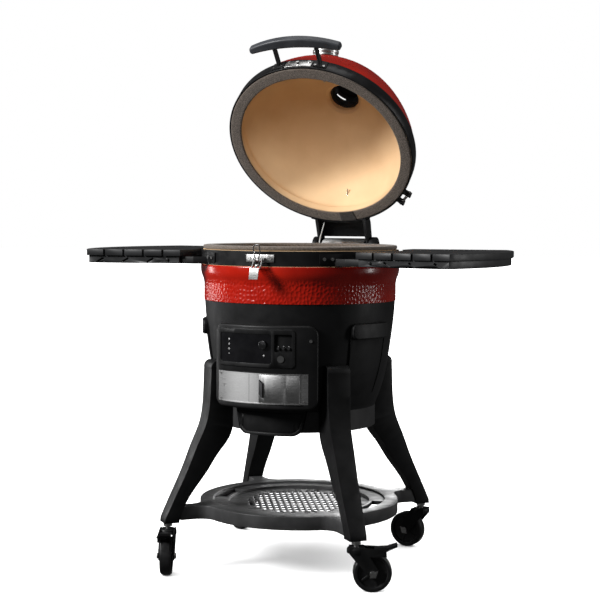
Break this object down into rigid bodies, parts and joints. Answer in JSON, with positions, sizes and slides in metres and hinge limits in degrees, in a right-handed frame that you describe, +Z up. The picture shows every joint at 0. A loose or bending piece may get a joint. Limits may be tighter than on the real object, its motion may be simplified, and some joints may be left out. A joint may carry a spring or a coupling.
{
  "type": "kamado ceramic grill",
  "caption": "Round ceramic charcoal grill with hinged dome lid, electronic draft controls, folding side shelves and caster legs",
  "frame": {"origin": "on the floor under the middle of the whole grill's outline, lid open and shelves up", "axes": "+Z up, front with the control panel facing -Y, +X to the right seen from behind the camera"},
  "size_m": [1.172, 0.8034, 1.446],
  "materials": {
    "red_glaze": "glossy dimpled glaze",
    "firebrick": "unglazed",
    "casing_black": "matte powder coat",
    "band_black": "satin powder coat",
    "resin_black": "fine texture",
    "housing_black": "fine texture",
    "grip_black": "satin",
    "display_black": "glossy",
    "gasket": "knitted mesh",
    "cast_iron": "seasoned",
    "stainless": "brushed",
    "chrome": "polished",
    "port_rubber": "matte",
    "wheel_black": "matte",
    "lead_white": "smooth"
  },
  "bodies": {
    "base": {"base_shell": "red_glaze", "lower_casing": "casing_black", "base_band": "band_black", "base_gasket": "gasket", "firebox": "firebrick", "fire_grate": "cast_iron", "rack_frame": "stainless", "control_housing": "housing_black", "display_glass": "display_black", "probe_port_plugs": "port_rubber", "draft_frame": "stainless", "blower_housing": "housing_black", "side_cowl_left": "resin_black", "side_cowl_right": "resin_black", "mains_inlet": "housing_black", "bottom_shelf": "resin_black", "shelf_brackets": "casing_black", "latch_base_plate": "stainless", "hinge_base_bracket": "casing_black", "hinge_shaft_springs": "stainless", "hinge_cover": "stainless", "base_fasteners": "stainless", "lid_sensor_lead": "lead_white", "leg_front_left": "resin_black", "leg_front_right": "resin_black", "leg_back_right": "resin_black", "leg_back_left": "resin_black"},
    "lid": {"lid_shell": "red_glaze", "lid_band": "band_black", "lid_gasket": "gasket", "handle_grip": "grip_black", "handle_brackets": "casing_black", "latch_keeper": "stainless", "thermometer": "stainless", "lid_probe": "chrome", "hinge_lid_bracket": "casing_black", "vent_base": "cast_iron", "lid_fasteners": "stainless"},
    "vent_dial": {"vent_dial": "cast_iron"},
    "latch_lever": {"latch_lever": "stainless"},
    "latch_bail": {"latch_bail": "chrome"},
    "shelf_left": {"shelf_left": "resin_black"},
    "shelf_right": {"shelf_right": "resin_black"},
    "control_dial": {"control_dial": "chrome"},
    "power_button": {"power_button": "chrome"},
    "draft_door": {"draft_door": "stainless"},
    "ash_drawer": {"ash_drawer_tray": "stainless", "ash_drawer_front": "housing_black"},
    "blower_impeller": {"blower_impeller": "housing_black"},
    "cooking_grates": {"cooking_grates": "stainless"},
    "caster_front_left": {"caster_fork_front_left": "casing_black"},
    "wheel_front_left": {"caster_wheel_front_left": "wheel_black"},
    "brake_front_left": {"brake_pedal_front_left": "casing_black"},
    "caster_front_right": {"caster_fork_front_right": "casing_black"},
    "wheel_front_right": {"caster_wheel_front_right": "wheel_black"},
    "brake_front_right": {"brake_pedal_front_right": "casing_black"},
    "caster_back_right": {"caster_fork_back_right": "casing_black"},
    "wheel_back_right": {"caster_wheel_back_right": "wheel_black"},
    "caster_back_left": {"caster_fork_back_left": "casing_black"},
    "wheel_back_left": {"caster_wheel_back_left": "wheel_black"}
  },
  "joints": [
    {"name": "lid_hinge", "type": "hinge", "parent": "base", "child": "lid", "pos_m": [0, 0.32783, 0.8675], "axis": [-1, 0, 0], "range_deg": [-50.7, 0], "stiffness_Nm_per_rad": 60, "springref_deg": 32.66, "deforming": ["lid_sensor_lead"]},
    {"name": "vent_dial_turn", "type": "hinge", "parent": "lid", "child": "vent_dial", "pos_m": [0, 0.34418, 1.34092], "axis": [0, 0.7738, 0.6334], "range_deg": [0, 90]},
    {"name": "latch_lever_swing", "type": "hinge", "parent": "base", "child": "latch_lever", "pos_m": [0, -0.31017, 0.844], "axis": [-1, 0, 0], "range_deg": [0, 34]},
    {"name": "latch_bail_swing", "type": "hinge", "parent": "latch_lever", "child": "latch_bail", "pos_m": [0, -0.32016, 0.83], "axis": [1, 0, 0], "range_deg": [-5, 40]},
    {"name": "shelf_left_fold", "type": "hinge", "parent": "base", "child": "shelf_left", "pos_m": [-0.29, -0.02816, 0.839], "axis": [0, -1, 0], "range_deg": [0, 90]},
    {"name": "shelf_right_fold", "type": "hinge", "parent": "base", "child": "shelf_right", "pos_m": [0.29, -0.02816, 0.839], "axis": [0, 1, 0], "range_deg": [0, 90]},
    {"name": "control_dial_turn", "type": "hinge", "parent": "base", "child": "control_dial", "pos_m": [0.00989, -0.29798, 0.623], "axis": [0.0366, -0.9993, 0], "continuous": true},
    {"name": "power_button_push", "type": "slide", "parent": "base", "child": "power_button", "axis": [-0.2113, 0.9774, 0], "range_m": [0, 0.0015], "stiffness_N_per_m": 500},
    {"name": "draft_door_slide", "type": "hinge", "parent": "base", "child": "draft_door", "pos_m": [0, -0.02816, 0.5], "axis": [0, 0, -1], "range_deg": [0, 22]},
    {"name": "ash_drawer_slide", "type": "slide", "parent": "base", "child": "ash_drawer", "axis": [0, -1, 0], "range_m": [0, 0.26]},
    {"name": "blower_spin", "type": "hinge", "parent": "base", "child": "blower_impeller", "pos_m": [-0.06681, -0.26907, 0.508], "axis": [-0.2672, -0.9636, 0], "continuous": true},
    {"name": "cooking_grates_lift", "type": "slide", "parent": "base", "child": "cooking_grates", "axis": [0, 0, 1], "range_m": [0, 0.15]},
    {"name": "caster_swivel_front_left", "type": "hinge", "parent": "base", "child": "caster_front_left", "pos_m": [-0.27082, -0.29899, 0.11], "axis": [0, 0, 1], "continuous": true},
    {"name": "wheel_spin_front_left", "type": "hinge", "parent": "caster_front_left", "child": "wheel_front_left", "pos_m": [-0.25475, -0.33779, 0.05], "axis": [0.9239, 0.3827, 0], "continuous": true},
    {"name": "brake_front_left", "type": "hinge", "parent": "caster_front_left", "child": "brake_front_left", "pos_m": [-0.24365, -0.36458, 0.106], "axis": [0.9239, 0.3827, 0], "range_deg": [0, 12]},
    {"name": "caster_swivel_front_right", "type": "hinge", "parent": "base", "child": "caster_front_right", "pos_m": [0.27082, -0.29899, 0.11], "axis": [0, 0, 1], "continuous": true},
    {"name": "wheel_spin_front_right", "type": "hinge", "parent": "caster_front_right", "child": "wheel_front_right", "pos_m": [0.30962, -0.28291, 0.05], "axis": [-0.3827, 0.9239, 0], "continuous": true},
    {"name": "brake_front_right", "type": "hinge", "parent": "caster_front_right", "child": "brake_front_right", "pos_m": [0.33642, -0.27182, 0.106], "axis": [-0.3827, 0.9239, 0], "range_deg": [0, 12]},
    {"name": "caster_swivel_back_right", "type": "hinge", "parent": "base", "child": "caster_back_right", "pos_m": [0.27082, 0.24266, 0.11], "axis": [0, 0, 1], "continuous": true},
    {"name": "wheel_spin_back_right", "type": "hinge", "parent": "caster_back_right", "child": "wheel_back_right", "pos_m": [0.22917, 0.24807, 0.05], "axis": [-0.1288, -0.9917, 0], "continuous": true},
    {"name": "caster_swivel_back_left", "type": "hinge", "parent": "base", "child": "caster_back_left", "pos_m": [-0.27082, 0.24266, 0.11], "axis": [0, 0, 1], "continuous": true},
    {"name": "wheel_spin_back_left", "type": "hinge", "parent": "caster_back_left", "child": "wheel_back_left", "pos_m": [-0.31003, 0.25771, 0.05], "axis": [-0.3584, -0.9336, 0], "continuous": true}
  ]
}
